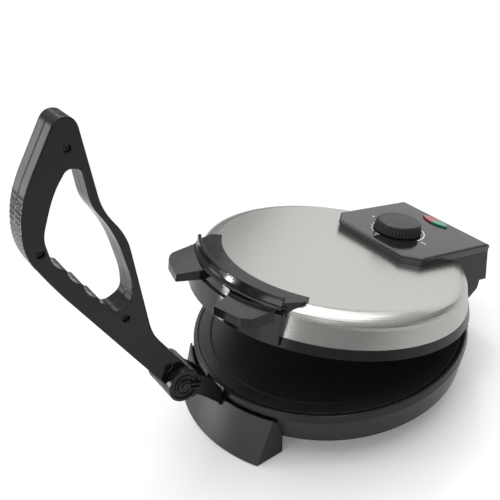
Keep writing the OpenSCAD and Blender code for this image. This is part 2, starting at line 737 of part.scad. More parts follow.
// Round caps with a raised rim, a groove, a raised ring and a sunken middle
module pivot_caps() {
    groove_face = fork_half_w - cap_groove;
    color([0.06, 0.06, 0.07]) mirrored_x() at_pivot() difference() {
        rotate([0, 90, 0]) rotate_extrude() polygon([[0, fork_out], [hub_r, fork_out],
            [hub_r, fork_half_w - 0.8], [hub_r - 0.8, fork_half_w], [hub_r - 3.2, fork_half_w],
            [hub_r - 3.6, groove_face], [hub_r - 6, groove_face], [hub_r - 6.4, fork_half_w - 0.3],
            [hub_r - 8.4, fork_half_w - 0.3], [hub_r - 8.8, groove_face], [0, groove_face]]);
        x_rod(pivot_pin_r, 0, big);
    }
}
module lever_pivot_pin() {
    seat = fork_half_w - cap_groove;
    color([0.55, 0.55, 0.57]) at_pivot() {
        x_rod(pivot_pin_r, -seat, seat + pin_tail);
        x_rod(pin_head_r, -seat - pin_head_t, -seat);
    }
}
// Spring clip that holds the end of the pin, with a bar across and two legs towards the lid
module pin_clip() {
    clip_t = 2.2;
    leg_w = 1.7;
    color([0.12, 0.12, 0.13]) at_pivot() translate([fork_half_w - cap_groove, 0, 0]) difference() {
        union() {
            x_rod(pivot_pin_r + 2.2, 0, clip_t);
            rotate([-24, 0, 0]) for (z = [-3.1, 1.4])
                translate([cap_groove + 0.1, 4.5, z]) cube([clip_t, 11.5, leg_w]);
            rotate([-24, 0, 0]) translate([0, -7.2, -4.2]) cube([clip_t, 2.6, 8.4]);
        }
        x_rod(pivot_pin_r, -1, 5);
    }
}

// ---- Lid ----

module lid_cover() {
    color([0.72, 0.71, 0.69]) on_lid() difference() {
        rotate_extrude() difference() {
            polygon(concat(cover_line(0), [[0, cover_z]]));
            polygon(concat(cover_line(steel_t), [[cover_r - steel_t, cover_z - 1], [0, cover_z - 1]]));
        }
        translate([0, knob_y, 0]) disc(21, shoulder_z, panel_z);
        radial_places() rotate([90, 0, 0]) translate([0, 0, -10]) cylinder(r = screw_r + seat_fit, h = 30);
    }
}
module lid_ring() {
    color([0.09, 0.09, 0.10]) on_lid() rotate_extrude() polygon([[ring_r, ring_z], [cover_r + 0.4, cover_z],
        [cover_r - steel_t - 0.2, cover_z], [cover_r - steel_t - 1.8, cover_z + 5],
        [cover_r - steel_t - 4, cover_z + 5], [cover_r - steel_t - 4, upper_ledge_z + 2.4],
        [ring_in_r - 6, upper_ledge_z + 2.4], [ring_in_r - 6, upper_ledge_z], [ring_in_r, upper_ledge_z],
        [ring_in_r, ring_z]]);
}
module upper_plate() {
    color([0.05, 0.05, 0.05]) on_lid() translate([0, 0, upper_margin_z]) mirror([0, 0, 1])
        rotate_extrude() plate_section(upper_edge_r, upper_ledge_z - upper_margin_z);
}
module upper_heating_element() {
    color([0.45, 0.42, 0.40]) on_lid() translate([0, 0, upper_margin_z - element_drop]) mirror([0, 0, 1])
        element();
}
upper_reflector_z = upper_back_z + reflector_gap;
module upper_reflector() {
    color([0.78, 0.78, 0.76]) on_lid() translate([0, 0, upper_reflector_z]) mirror([0, 0, 1])
        reflector(upper_reflector_z - upper_ledge_z - 2.4, ring_in_r - 0.5);
}
module upper_plate_studs() {
    color([0.62, 0.62, 0.64]) on_lid() for (a = [0, 120, 240]) at_angle(a, pillar_circle_r) {
        disc(pillar_r, upper_back_z, upper_reflector_z - reflector_t);
        disc(pillar_neck_r, upper_reflector_z - reflector_t, upper_reflector_z + 4);
    }
}
module insulation_pad() {
    color([0.88, 0.86, 0.80]) on_lid() difference() {
        disc(pillar_circle_r - 12, upper_reflector_z, upper_reflector_z + 5);
        for (a = [-leg_a, leg_a]) rotate([0, 0, 90 - a]) translate([element_r, 0, 0]) disc(8, 0, big);
    }
}

// Places around the lid for screws that point outwards
module radial_places() {
    for (a = [-radial_screw_a, radial_screw_a, 180 - radial_screw_a, 180 + radial_screw_a])
        at_angle(a, shoulder_r) translate([0, 0, radial_screw_z]) children();
}

// A ring sector about the lid's centre, towards the front
module sector(r0, r1, z0, z1, half_a) {
    intersection() {
        difference() {
            disc(r1, z0, z1);
            disc(r0, z0 - 1, z1 + 1);
        }
        translate([0, 0, z0 - 1]) linear_extrude(z1 - z0 + 2)
            polygon([[0, 0], [-big * tan(half_a), -big], [big * tan(half_a), -big]]);
    }
}
function lobe_top_z(y) = crown_z - 1.6 + (y + ridge_r * cos(ridge_half_a)) * tan(lobe_slope);
function lobe_under_z(y) = lobe_top_z(-lobe_reach_r) - lobe_t + (y + lobe_reach_r) * tan(lobe_under_slope);
// One of the two lobes of the grip in front of the ridge
module grip_lobe() {
    front_y = -sqrt(pow(lobe_reach_r, 2) - pow(gap_half_w + gap_flare, 2));
    corner_y = -sqrt(pow(lobe_reach_r, 2) - pow(lobe_half_w, 2));
    root_y = -ridge_r * cos(handle_half_a);
    inner_y = -sqrt(pow(ridge_r - 1, 2) - pow(gap_half_w, 2));
    intersection() {
        along_x(0, lobe_half_w) polygon([[0, lobe_top_z(0)], [0, lobe_under_z(0)],
            [-big, lobe_under_z(-big)], [-big, lobe_top_z(-big)]]);
        linear_extrude(big) polygon(rounded([[gap_half_w, inner_y, 0],
            [gap_half_w + gap_flare, front_y, 2], [lobe_half_w - 12, front_y + 7, 5],
            [lobe_half_w - 2, corner_y + 2, 5], [lobe_half_w, root_y, 0]]));
    }
}
// The thin flange that lies on the steel, with its two rounded ends
module handle_flange() {
    // distance of an end's widest point in front of the centre
    end_y = ridge_r - 40.5;
    end_points = [[flange_half_w - 4, 8 - end_y, 2], [flange_half_w, -end_y, 2],
        [flange_half_w - 6, -end_y - 18, 4], [flange_half_w - 8, -big, 0]];
    intersection() {
        difference() {
            disc(ridge_r - 1, shoulder_z, crown_z + flange_t);
            disc(flange_in_r, shoulder_z - 1, big);
        }
        translate([0, 0, shoulder_z]) linear_extrude(big) polygon(rounded(concat([[0, 65 - end_y, 0]],
            [for (p = end_points) [-p[0], p[1], p[2]]],
            [for (i = [len(end_points) - 1:-1:0]) end_points[i]])));
    }
}
// The standing ridge, hollowed towards its foot on its outer face
module ridge() {
    top_z = crown_z + ridge_h;
    foot_z = crown_z - 2.6;
    intersection() {
        rotate_extrude() polygon(concat([[ridge_r - ridge_t, crown_z - 4], [ridge_r - ridge_t, top_z - 0.6],
            [ridge_r - ridge_t + 0.6, top_z], [ridge_r - 0.6, top_z]],
            bend([ridge_r, top_z - 0.6], [ridge_r, foot_z + 1.4], [ridge_r + ridge_foot, foot_z], 7),
            [[ridge_r + ridge_foot, crown_z - 4]]));
        sector(ridge_r - ridge_t - 1, ridge_r + ridge_foot + 1, crown_z - 5, top_z + 1, ridge_half_a);
    }
}
module lid_handle() {
    apron_top_z = lobe_top_z(-apron_r) + 0.5;
    gap_half_a = asin((gap_half_w + 1) / apron_r);
    face_r = apron_r - 2.4;
    color([0.15, 0.15, 0.16]) on_lid() difference() {
        union() {
            // apron in front of the steel and the ring
            sector(cover_r - 12, apron_r, ring_z + 1.5, apron_top_z, handle_half_a);
            sector(cover_r - 12, ridge_r, apron_top_z - 1, crown_z - 1, handle_half_a);
            // shelf between the lobes
            sector(cover_r - 12, face_r, apron_top_z - 1, crown_z - 3, gap_half_a);
            handle_flange();
            ridge();
            mirrored_x() grip_lobe();
        }
        lid_envelope();
        // upright face of the gap
        sector(face_r, apron_r + 1, shoulder_z - 0.6, crown_z, gap_half_a);
        radial_places() rotate([90, 0, 0]) translate([0, 0, -10]) cylinder(r = screw_r, h = 18.5);
    }
}
module handle_screws() {
    color([0.6, 0.6, 0.62]) on_lid() radial_places() translate([0, 4, 0]) rotate([90, 0, 0]) screw(11);
}

// The panel seen from above, drawn in by inset at its front and sides
module panel_outline(inset) {
    half_w = panel_half_w - inset;
    front_y = panel_front_y + inset;
    c = panel_corner;
    polygon(rounded([[-half_w, panel_rear_y, 0], [-half_w, front_y + c, 2], [-half_w + c, front_y, 2],
        [half_w - c, front_y, 2], [half_w, front_y + c, 2], [half_w, panel_rear_y, 0]], 4));
}
// Everything under a top edge that is rounded at distance d along the first axis
module rounded_edge(d, r) {
    polygon(concat([[-big, 0], [d, 0]], bend([d, panel_z - r], [d, panel_z], [d - r, panel_z], 6),
        [[-big, panel_z]]));
}
// Rounding of the panel's rear edge, seen from the side on the shut lid
panel_rear_points = bend([panel_rear_y - panel_round, panel_z], [panel_rear_y - 0.4, panel_z - 0.3],
    [panel_rear_y, panel_z - panel_round], 8);
// The panel with its lip, rounded along its front, its sides, its cut corners and its rear
module panel_body() {
    corner_d = (panel_half_w - panel_corner - panel_front_y) * sqrt(0.5);
    intersection() {
        union() {
            translate([0, 0, panel_z - panel_lip_t]) linear_extrude(panel_lip_t) panel_outline(0);
            translate([0, 0, panel_under_z - 1]) linear_extrude(panel_t + 1) panel_outline(panel_lip);
        }
        rotate([90, 0, -90]) translate([0, 0, -big]) linear_extrude(2 * big)
            rounded_edge(-panel_front_y, panel_edge_r);
        mirrored_both() rotate([90, 0, 0]) translate([0, 0, -big]) linear_extrude(2 * big)
            rounded_edge(panel_half_w, panel_edge_r);
        mirrored_both() rotate([0, 0, -45]) rotate([90, 0, 0]) translate([0, 0, -big]) linear_extrude(2 * big)
            rounded_edge(corner_d, panel_edge_r);
        along_x(-big, big) polygon(concat([[0, panel_under_z - 1], [0, panel_z]], panel_rear_points,
            [[panel_rear_y, panel_under_z], [housing_front_y, panel_under_z],
            [housing_front_y, panel_under_z - 1]]));
    }
}
// What a piece and its mirror image have in common
module mirrored_both() {
    intersection() {
        children();
        mirror([1, 0, 0]) children();
    }
}
module lens_outline(x0, x1) {
    intersection() {
        translate([lens_x, lens_y - lens_off]) circle(r = lens_r);
        translate([lens_x, lens_y + lens_off]) circle(r = lens_r);
        translate([x0, lens_y - 20]) square([x1 - x0, 40]);
    }
}
module control_panel() {
    color([0.22, 0.22, 0.24]) on_lid() difference() {
        panel_body();
        lid_envelope();
        translate([0, 0, panel_z - lens_sink]) linear_extrude(5) lens_outline(-big, lens_end);
        for (x = [lens_x - lamp_x, lens_x + lamp_x]) translate([x, lens_y, 0]) disc(lamp_r, 0, big);
        translate([0, knob_y, 0]) disc(neck_r, 0, big);
        translate([-thermostat_half[0] - 1, knob_y - thermostat_half[1] - 1, shoulder_z])
            cube([2 * thermostat_half[0] + 2, 2 * thermostat_half[1] + 2, panel_under_z + 1.5 - shoulder_z]);
        mirrored_x() translate(housing_screw_at) disc(screw_r, 0, panel_under_z + 6);
    }
}

// Side view of the housing behind the lid, thinned by t on all but its underside
module housing_profile(t) {
    top = panel_under_z;
    under = t > 0 ? housing_base_z - 1 : housing_base_z;
    polygon([[housing_front_y, top - t], [panel_rear_y - t, top - t],
        [panel_rear_y + rear_lean - t, housing_base_z], [panel_rear_y + rear_lean - t, under],
        [housing_front_y, under]]);
}
// Side view of an ear: an eye around the pin that tapers to a rounded tip
module ear_profile() {
    tip = [hinge_y - 4, hinge_z - 9];
    translate([hinge_y, hinge_z]) circle(r = ear_r);
    translate(tip) circle(r = ear_tip_r);
    polygon([[hinge_y + ear_r * cos(25), hinge_z - ear_r * sin(25)], [tip[0] + ear_tip_r * cos(40),
        tip[1] - ear_tip_r * sin(40)], [tip[0] - ear_tip_r, tip[1]], [hinge_y - ear_r, hinge_z],
        [hinge_y - ear_r, housing_base_z + 1], [hinge_y + ear_r, housing_base_z + 1],
        [hinge_y + ear_r, hinge_z]]);
}
module hinge_housing() {
    color([0.17, 0.17, 0.18]) on_lid() difference() {
        union() {
            difference() {
                along_x(-housing_half_w, housing_half_w) housing_profile(0);
                difference() {
                    along_x(-housing_half_w + housing_wall, housing_half_w - housing_wall)
                        housing_profile(housing_wall);
                    // wall that lies against the steel cover
                    disc(cover_r + housing_wall, 0, big);
                    mirrored_x() translate(housing_screw_at) disc(boss_r, 0, big);
                }
            }
            mirrored_x() along_x(ear_x0, housing_half_w) ear_profile();
        }
        lid_envelope();
        disc(ring_r + 0.6, 0, cover_z);
        mirrored_x() at_hinge() x_rod(hinge_pin_r + running_fit, 0, ear_bore_end);
        at_hinge() x_rod(knuckle_r + 1.5, -ear_x0, ear_x0);
        mirrored_x() translate(housing_screw_at) disc(screw_r + seat_fit, 0, big);
        mirrored_x() translate(housing_screw_at) disc(screw_head_r + 1, 0, housing_base_z + 12);
        // window for the lamps and their leads
        translate([-20, lens_y - 7, panel_under_z - housing_wall - 1]) cube([40, 16, housing_wall + 2]);
        radial_places() rotate([90, 0, 0]) translate([0, 0, -10]) cylinder(r = screw_r, h = 18.5);
    }
}
module housing_screws() {
    color([0.6, 0.6, 0.62]) on_lid() mirrored_x() translate(housing_screw_at)
        translate([0, 0, housing_base_z + 12]) screw(panel_under_z + 5 - housing_base_z - 12);
}
module thermostat() {
    body_top = panel_under_z + 1.5;
    color([0.80, 0.78, 0.72]) on_lid() translate([0, knob_y, 0]) difference() {
        union() {
            translate([-thermostat_half[0], -thermostat_half[1], body_top - thermostat_h])
                cube([2 * thermostat_half[0], 2 * thermostat_half[1], thermostat_h]);
            disc(neck_r - seat_fit, body_top - 1, panel_z);
            for (x = [-9, 9]) translate([x - 3, -0.4, body_top - thermostat_h - 5]) cube([6, 0.8, 6]);
        }
        disc(spindle_r + running_fit, body_top - thermostat_h + 4, big);
    }
}
module indicator_lamps() {
    color([0.95, 0.80, 0.62]) on_lid() for (x = [lens_x - lamp_x, lens_x + lamp_x])
        translate([x, lens_y, 0]) disc(lamp_r - seat_fit, panel_under_z - 6, panel_z - lens_sink);
}
module red_lens() {
    color([0.75, 0.10, 0.12]) on_lid() translate([0, 0, panel_z - lens_sink])
        linear_extrude(lens_sink + lens_h) lens_outline(-big, lens_split);
}
module green_lens() {
    color([0.02, 0.45, 0.28]) on_lid() translate([0, 0, panel_z - lens_sink])
        linear_extrude(lens_sink + lens_h) lens_outline(lens_split, lens_end);
}
module terminal_strip() {
    strip = [22, 9, 10];
    strip_x = -45;
    color([0.90, 0.88, 0.82]) on_lid() difference() {
        translate([strip_x, lens_y + 1, panel_under_z - housing_wall - strip[2]]) cube(strip);
        for (x = [5, 11, 17]) translate([strip_x + x, lens_y, panel_under_z - housing_wall - strip[2] / 2])
            rotate([-90, 0, 0]) cylinder(r = 1.8, h = 20);
    }
}
module knob() {
    flute_r = 1.7;
    side_a = atan((knob_r - knob_top_r - 0.9) / (knob_h - 2.6));
    // how much further out a flute lies at the knob's top, where it fades away
    fade_a = atan((flute_d - 0.2) / knob_h);
    color([0.11, 0.12, 0.12]) on_lid() translate([0, knob_y, knob_z]) difference() {
        rotate_extrude() polygon([[0, 0], [knob_r - 0.6, 0], [knob_r, 1], [knob_top_r + 0.9, knob_h - 1.6],
            [knob_top_r, knob_h - 0.5], [knob_top_r - 1.2, knob_h], [0, knob_h]]);
        for (i = [0:knob_flutes - 1]) rotate([0, 0, i * 360 / knob_flutes])
            translate([knob_r + flute_r - flute_d, 0, 0]) rotate([0, fade_a - side_a, 0])
                translate([0, 0, -2]) cylinder(r = flute_r, h = knob_h + 4);
        difference() {
            disc(knob_top_r - 3, -1, knob_h - 3);
            disc(spindle_r + 2.5, -2, knob_h);
        }
        disc(spindle_r, -2, knob_h - 2.5);
    }
}
module thermostat_spindle() {
    color([0.70, 0.70, 0.72]) on_lid() translate([0, knob_y, 0])
        disc(spindle_r, panel_under_z + 6 - thermostat_h, knob_z + knob_h - 2.5);
}

// ---- Lever ----

lever_corners = [for (i = [0:len(lever_outline) - 1])
    lever_at(lever_outline[i], i == palm_corner || i == palm_corner + 1 ? palm_ribs : 6)];
plain_points = rounded(lever_corners);
palm_from = len(rounded([for (i = [0:palm_corner - 1]) lever_corners[i]]));
rib_tops = shrunk(plain_points, -palm_rib_h);
lever_points = [for (i = [0:len(plain_points) - 1]) let (k = i - palm_from)
    k > palm_skip && k < 2 * palm_ribs + 1 && k % 2 == 1 ? rib_tops[i] : plain_points[i]];
function grip_corner(i) = [lever_at(grip_outline[i])[0], lever_at(grip_outline[i])[1]];
scallop_way = grip_corner(scallop_corner + 1) - grip_corner(scallop_corner);
scallop_out = unit([-scallop_way[1], scallop_way[0]]);
scallop_step = (scallop_to - scallop_from) / scallops;
scallop_points = [for (i = [0:scallops - 1]) each let (
    a = grip_corner(scallop_corner) + scallop_way * (scallop_from + scallop_step * i),
    b = a + scallop_way * scallop_step,
    curve = bend(a, (a + b) / 2 + scallop_out * 2 * scallop_d, b, 7))
    [for (k = [(i == 0 ? 2 : 0):6]) [curve[k][0], curve[k][1], 0, 0]]];
// The corners of the hand opening, with the finger scallops along its outer side
grip_points = rounded([for (i = [0:len(grip_outline) - 1]) each
    concat([lever_at(grip_outline[i])], i == scallop_corner ? scallop_points : [])]);

// Side view of one half of the lever
module lever_profile() {
    difference() {
        union() {
            circle(r = hub_r);
            polygon(lever_points);
            // heel that rests on the fork's crossbar
            polygon([[0, 0], heel_r * [cos(heel_from), sin(heel_from)],
                heel_r * [cos(heel_to), sin(heel_to)]]);
        }
        polygon(grip_points);
        circle(r = bush_r);
    }
}
module at_lever_screws(x) {
    for (p = lever_screw_at) translate([x, lever_at(p)[0], lever_at(p)[1]]) children();
}
module lever_shell_right() {
    color([0.14, 0.14, 0.15]) at_pivot() difference() {
        along_x(0, lever_w / 2) lever_profile();
        at_lever_screws(0) x_rod(screw_r, -1, lever_w);
        at_lever_screws(0) x_rod(counterbore_r, lever_w / 2 - counterbore_d, lever_w);
    }
}
module lever_shell_left() {
    screw_depth = 9;
    color([0.14, 0.14, 0.15]) at_pivot() difference() {
        along_x(-lever_w / 2, 0) lever_profile();
        at_lever_screws(0) x_rod(screw_r, -screw_depth, 1);
    }
}
module lever_bush() {
    color([0.80, 0.70, 0.45]) at_pivot() difference() {
        x_rod(bush_r, -lever_w / 2, lever_w / 2);
        x_rod(pivot_pin_r + running_fit, -lever_w, lever_w);
    }
}
module lever_screws() {
    color([0.25, 0.25, 0.27]) at_pivot() at_lever_screws(lever_w / 2 - counterbore_d) rotate([0, -90, 0])
        screw(lever_screw_l);
}

// ---- Place ----

// Everything above is drawn about the centre of the base. The origin is on the table, under the middle
// of the whole length, which runs from the lever's palm side to the rear edge of the open lid's panel.
front_end = min([for (p = lever_points) p[0]]) - pivot_y;
rear_end = max([for (p = panel_rear_points)
    hinge_y + (p[0] - hinge_y) * cos(lid_open) + (p[1] - hinge_z) * sin(lid_open)]);
module placed() { translate([0, -(front_end + rear_end) / 2, 0]) children(); }

placed() base_housing();
placed() base_bottom_cover();
placed() front_foot();
placed() rear_foot();
placed() rubber_feet();
placed() base_screws();
placed() cord_bushing();
placed() lower_plate();
placed() lower_heating_element();
placed() lower_reflector();
placed() lower_plate_pillars();
placed() thermal_fuse();
placed() base_terminal_block();
placed() hinge_pins();
placed() lever_bracket();
placed() bracket_screws();
placed() pivot_caps();
placed() lever_pivot_pin();
placed() pin_clip();
placed() lid_cover();
placed() lid_ring();
placed() upper_plate();
placed() upper_heating_element();
placed() upper_reflector();
placed() upper_plate_studs();
placed() insulation_pad();
placed() lid_handle();
placed() handle_screws();
placed() control_panel();
placed() hinge_housing();
placed() housing_screws();
placed() thermostat();
placed() indicator_lamps();
placed() red_lens();
placed() green_lens();
placed() terminal_strip();
placed() knob();
placed() thermostat_spindle();
placed() lever_shell_right();
placed() lever_shell_left();
placed() lever_bush();
placed() lever_screws();
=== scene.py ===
# %% [markdown]
# # An electric roti maker
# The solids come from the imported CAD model, so nothing is modelled twice. This lesson gives them
# their finishes, adds the printed marks round the dial, and sets the camera, the table and the lamps.
# Every length is in metres. The origin is on the table under the middle of the whole length, and the
# base stands a little behind it, so the base's middle is read from the box of its housing.

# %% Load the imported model
import json
import math

import bpy
from mathutils import Matrix, Vector


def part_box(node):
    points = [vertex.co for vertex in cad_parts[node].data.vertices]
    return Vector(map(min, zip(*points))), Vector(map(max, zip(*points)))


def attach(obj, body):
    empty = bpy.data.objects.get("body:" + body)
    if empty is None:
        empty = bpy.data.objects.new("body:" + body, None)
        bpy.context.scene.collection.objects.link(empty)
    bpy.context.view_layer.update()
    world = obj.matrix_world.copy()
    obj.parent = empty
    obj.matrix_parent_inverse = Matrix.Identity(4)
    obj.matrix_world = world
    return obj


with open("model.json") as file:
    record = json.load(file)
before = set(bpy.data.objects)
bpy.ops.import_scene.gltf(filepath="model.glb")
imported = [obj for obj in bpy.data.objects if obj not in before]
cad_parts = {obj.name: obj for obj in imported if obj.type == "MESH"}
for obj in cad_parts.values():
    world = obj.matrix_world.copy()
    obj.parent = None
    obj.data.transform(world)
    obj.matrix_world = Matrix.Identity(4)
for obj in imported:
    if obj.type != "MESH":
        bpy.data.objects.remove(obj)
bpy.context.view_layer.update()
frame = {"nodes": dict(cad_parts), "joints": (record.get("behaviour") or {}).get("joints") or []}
NODES = frame["nodes"]
JOINTS = {joint["name"]: joint for joint in frame["joints"]}
base_low, base_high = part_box("base_housing")
BASE_Y = (base_low[1] + base_high[1]) / 2
RIM_Z = base_high[2]
print("base centre at y", round(BASE_Y, 5), "and its rim at z", round(RIM_Z, 5))

# %% [markdown]
# ## The camera
# The photograph looks down on the maker from its front right. The direction, tilt and distance were
# found by fitting known circles of the base and the lid, so they are written here as plain numbers.
# A lens could also be guessed by eye, but then edges drift apart away from the middle of the picture.

# %% Camera
AZIMUTH, ELEVATION, ROLL = math.radians(59.536), math.radians(32.665), math.radians(-7.176)
DISTANCE = 0.8601
SLIDE_RIGHT, SLIDE_UP = -0.08319, 0.07477
LENS_MM, SENSOR_MM = 57.6, 36.0
NEAREST, FURTHEST = 0.05, 20

aim = Vector((0, BASE_Y, RIM_Z))
back = Vector((math.sin(AZIMUTH) * math.cos(ELEVATION), -math.cos(AZIMUTH) * math.cos(ELEVATION),
               math.sin(ELEVATION)))
level_right = Vector((math.cos(AZIMUTH), math.sin(AZIMUTH), 0))
level_up = back.cross(level_right)
right = level_right * math.cos(ROLL) + level_up * math.sin(ROLL)
up = level_up * math.cos(ROLL) - level_right * math.sin(ROLL)
eye = aim + back * DISTANCE + right * SLIDE_RIGHT + up * SLIDE_UP

camera_data = bpy.data.cameras.new("camera")
camera_data.lens, camera_data.sensor_width = LENS_MM, SENSOR_MM
camera_data.clip_start, camera_data.clip_end = NEAREST, FURTHEST
camera = bpy.data.objects.new("camera", camera_data)
bpy.context.scene.collection.objects.link(camera)
camera.matrix_world = Matrix.Translation(eye) @ Matrix((right, up, back)).transposed().to_4x4()
bpy.context.scene.camera = camera
print("camera at", tuple(round(v, 4) for v in eye))

# %% [markdown]
# ## Writing shader nodes as sums
# A finish is a small graph of nodes. Its sockets could be linked one by one, but that hides the idea.
# So one class wraps an output socket and gives it the usual operators: adding two wires adds a Math
# node, and 1 - mask works as it reads.

# %% Wires
class Wire:
    """An output socket that takes part in sums."""

    def __init__(self, graph, socket):
        self.graph, self.socket = graph, socket

    def maths(self, operation, *values):
        return self.graph.node("ShaderNodeMath", {"operation": operation}, dict(enumerate(values)))

    def __add__(self, other):
        return self.maths("ADD", self, other)

    def __radd__(self, other):
        return self.maths("ADD", other, self)

    def __sub__(self, other):
        return self.maths("SUBTRACT", self, other)

    def __rsub__(self, other):
        return self.maths("SUBTRACT", other, self)

    def __mul__(self, other):
        return self.maths("MULTIPLY", self, other)

    def __rmul__(self, other):
        return self.maths("MULTIPLY", other, self)


# %% [markdown]
# ## Every other node from one method
# Materials and the world both hold a graph of nodes. One class takes either and makes any node from
# its type, its settings and what goes into its sockets, so the cells below only say what is special.

# %% Graphs
class Graph:
    """A node tree, and one method that adds any node to it."""

    def __init__(self, tree):
        self.tree = tree

    def node(self, kind, settings=None, inputs=None, out=0):
        made = self.tree.nodes.new(kind)
        for key, value in (settings or {}).items():
            setattr(made, key, value)
        for key, value in (inputs or {}).items():
            self.feed(made.inputs[key], value)
        return Wire(self, made.outputs[out])

    def feed(self, socket, value):
        """Links a wire to a socket, or writes a plain value into it."""
        if isinstance(value, Wire):
            self.tree.links.new(value.socket, socket)
        else:
            socket.default_value = value

    def between(self, value, low, high, at_low=0.0, at_high=1.0):
        """Moves from at_low to at_high as value goes from low to high, and holds outside them."""
        return self.node("ShaderNodeMapRange", {"clamp": True},
                         {0: value, 1: low, 2: high, 3: at_low, 4: at_high})

    def mix(self, factor, first, second):
        """Blends two colours."""
        return self.node("ShaderNodeMix", {"data_type": "RGBA"}, {0: factor, 6: first, 7: second}, out=2)


# %% [markdown]
# ## A finish
# A finish is one material. Its patterns are noise in the object's own metres, so a grain keeps its
# real size on every piece. Sharp CAD edges are rounded by a Bevel node. They could be rounded in the
# mesh, but the CAD solids stay as they are, and the node gives the same bright line along an edge.

# %% Finishes
class Finish(Graph):
    """One material, its shader, and the patterns that feed it."""

    def __init__(self, name, **constants):
        self.material = bpy.data.materials.new(name)
        self.material.use_nodes = True
        super().__init__(self.material.node_tree)
        self.shader = self.tree.nodes["Principled BSDF"]
        for socket, value in constants.items():
            self.set(socket.replace("_", " "), value)
        self.place = self.node("ShaderNodeTexCoord", out="Object")

    def set(self, socket, value):
        self.feed(self.shader.inputs[socket], value)

    def noise(self, scale, detail=2.0, stretch=(1, 1, 1)):
        """Even noise between 0 and 1, with scale in cells per metre."""
        spread = self.node("ShaderNodeVectorMath", {"operation": "MULTIPLY"}, {0: self.place, 1: stretch})
        return self.node("ShaderNodeTexNoise", {}, {"Vector": spread, "Scale": scale, "Detail": detail})

    def soft_edges(self, radius):
        """A normal that rounds sharp edges by radius, as every moulding or pressing is rounded."""
        return self.node("ShaderNodeBevel", {"samples": 6}, {"Radius": radius})

    def bump(self, height, depth, normal=None):
        """Relief of that many metres where height goes from 0 to 1."""
        inputs = {"Height": height, "Distance": depth, "Strength": 1.0}
        if normal is not None:
            inputs["Normal"] = normal
        return self.node("ShaderNodeBump", {}, inputs)


def colour(red, green=None, blue=None):
    """A colour for a socket. One number gives a grey."""
    green = red if green is None else green
    blue = red if blue is None else blue
    return (red, green, blue, 1)


def dress(finish, *names):
    """Gives CAD nodes their finish."""
    for name in names:
        mesh = NODES[name].data
        mesh.materials.clear()
        mesh.materials.append(finish.material)
    print(finish.material.name, "on", ", ".join(names))


# %% [markdown]
# ## Black mouldings
# The base, the feet, the fork, the lever and the handles are moulded in black plastic with a half
# gloss. One dark colour could be enough in a small picture, but close up the plastic is never even:
# the tool leaves a fine grain, hands leave smears that change the gloss, and a little pale dust
# settles on faces that look up. The grain is relief, the smears are roughness, and the dust is a
# faint lift of the colour, so each shows only where light meets it.

# %% How a moulding is made
SMOOTH_GRAIN, FINE_GRAIN, COARSE_GRAIN = 0.000002, 0.000003, 0.00001


def moulded(name, base, rough, dust, edge, grain=FINE_GRAIN, **constants):
    """A black plastic. Dust is how far the colour lifts, edge and grain are in metres."""
    finish = Finish(name, **constants)
    smears = finish.noise(22, detail=4)
    streaks = finish.noise(60, detail=3, stretch=(1, 1, 0.25))
    gloss = finish.between(smears * 0.6 + streaks * 0.4, 0.35, 0.65, rough - 0.045, rough + 0.06)
    finish.set("Roughness", gloss)
    facing = finish.node("ShaderNodeNewGeometry", out="Normal")
    upward = finish.node("ShaderNodeSeparateXYZ", {}, {0: facing}, out="Z")
    patches = finish.between(finish.noise(90, detail=5), 0.42, 0.7)
    settled = finish.between(upward, 0.55, 0.98) * patches
    dusty = tuple(min(1, v + dust) for v in base)
    finish.set("Base Color", finish.mix(settled, colour(*base), colour(*dusty)))
    relief = finish.noise(3200, detail=1)
    finish.set("Normal", finish.bump(relief, grain, finish.soft_edges(edge)))
    return finish


# %% Black plastics
BODY_BLACK = (0.0070, 0.0076, 0.0086)
FOOT_BLACK = (0.0070, 0.0078, 0.0084)
HANDLE_BLACK = (0.0052, 0.0060, 0.0074)
PANEL_GREY = (0.0085, 0.0090, 0.0105)
KNOB_GREY = (0.010, 0.0118, 0.0118)

body_plastic = moulded("black_body_plastic", BODY_BLACK, 0.24, dust=0.004, edge=0.0005, IOR=1.48)
foot_plastic = moulded("black_foot_plastic", FOOT_BLACK, 0.42, dust=0.004, edge=0.0008, IOR=1.55)
handle_plastic = moulded("black_handle_plastic", HANDLE_BLACK, 0.13, dust=0.003, edge=0.0008, IOR=1.46)
lever_plastic = moulded("black_lever_plastic", HANDLE_BLACK, 0.12, dust=0.003, edge=0.0024, IOR=1.46)
panel_plastic = moulded("grey_panel_plastic", PANEL_GREY, 0.11, dust=0.003, edge=0.0009,
                        grain=SMOOTH_GRAIN, IOR=1.75)
knob_plastic = moulded("knob_plastic", KNOB_GREY, 0.36, dust=0.006, edge=0.0009, grain=COARSE_GRAIN)
dress(body_plastic, "base_housing", "lever_bracket", "pivot_caps", "lid_ring")
dress(foot_plastic, "front_foot", "rear_foot")
dress(handle_plastic, "lid_handle", "hinge_housing")
dress(lever_plastic, "lever_shell_right", "lever_shell_left")
dress(panel_plastic, "control_panel")
dress(knob_plastic, "knob")

# %% [markdown]
# ## Brushed steel
# The lid's cover is pressed from stainless sheet that was brushed in one direction first. An
# anisotropic shader could stretch its highlights, but the cover turns over its shoulder and would
# need a map of directions. The lines are far finer than a pixel, so noise that is long one way and
# narrow the other does as well: it makes streaks in the gloss and a slight drift of tone.

# %% Steel cover
BRUSHED = (3, 900, 900)
BROAD_STREAKS = (1.2, 120, 120)
DARK_STEEL, LIGHT_STEEL = colour(0.570, 0.558, 0.536), colour(0.582, 0.570, 0.548)
SCRATCH_DEPTH, COVER_EDGE = 0.0000005, 0.0006

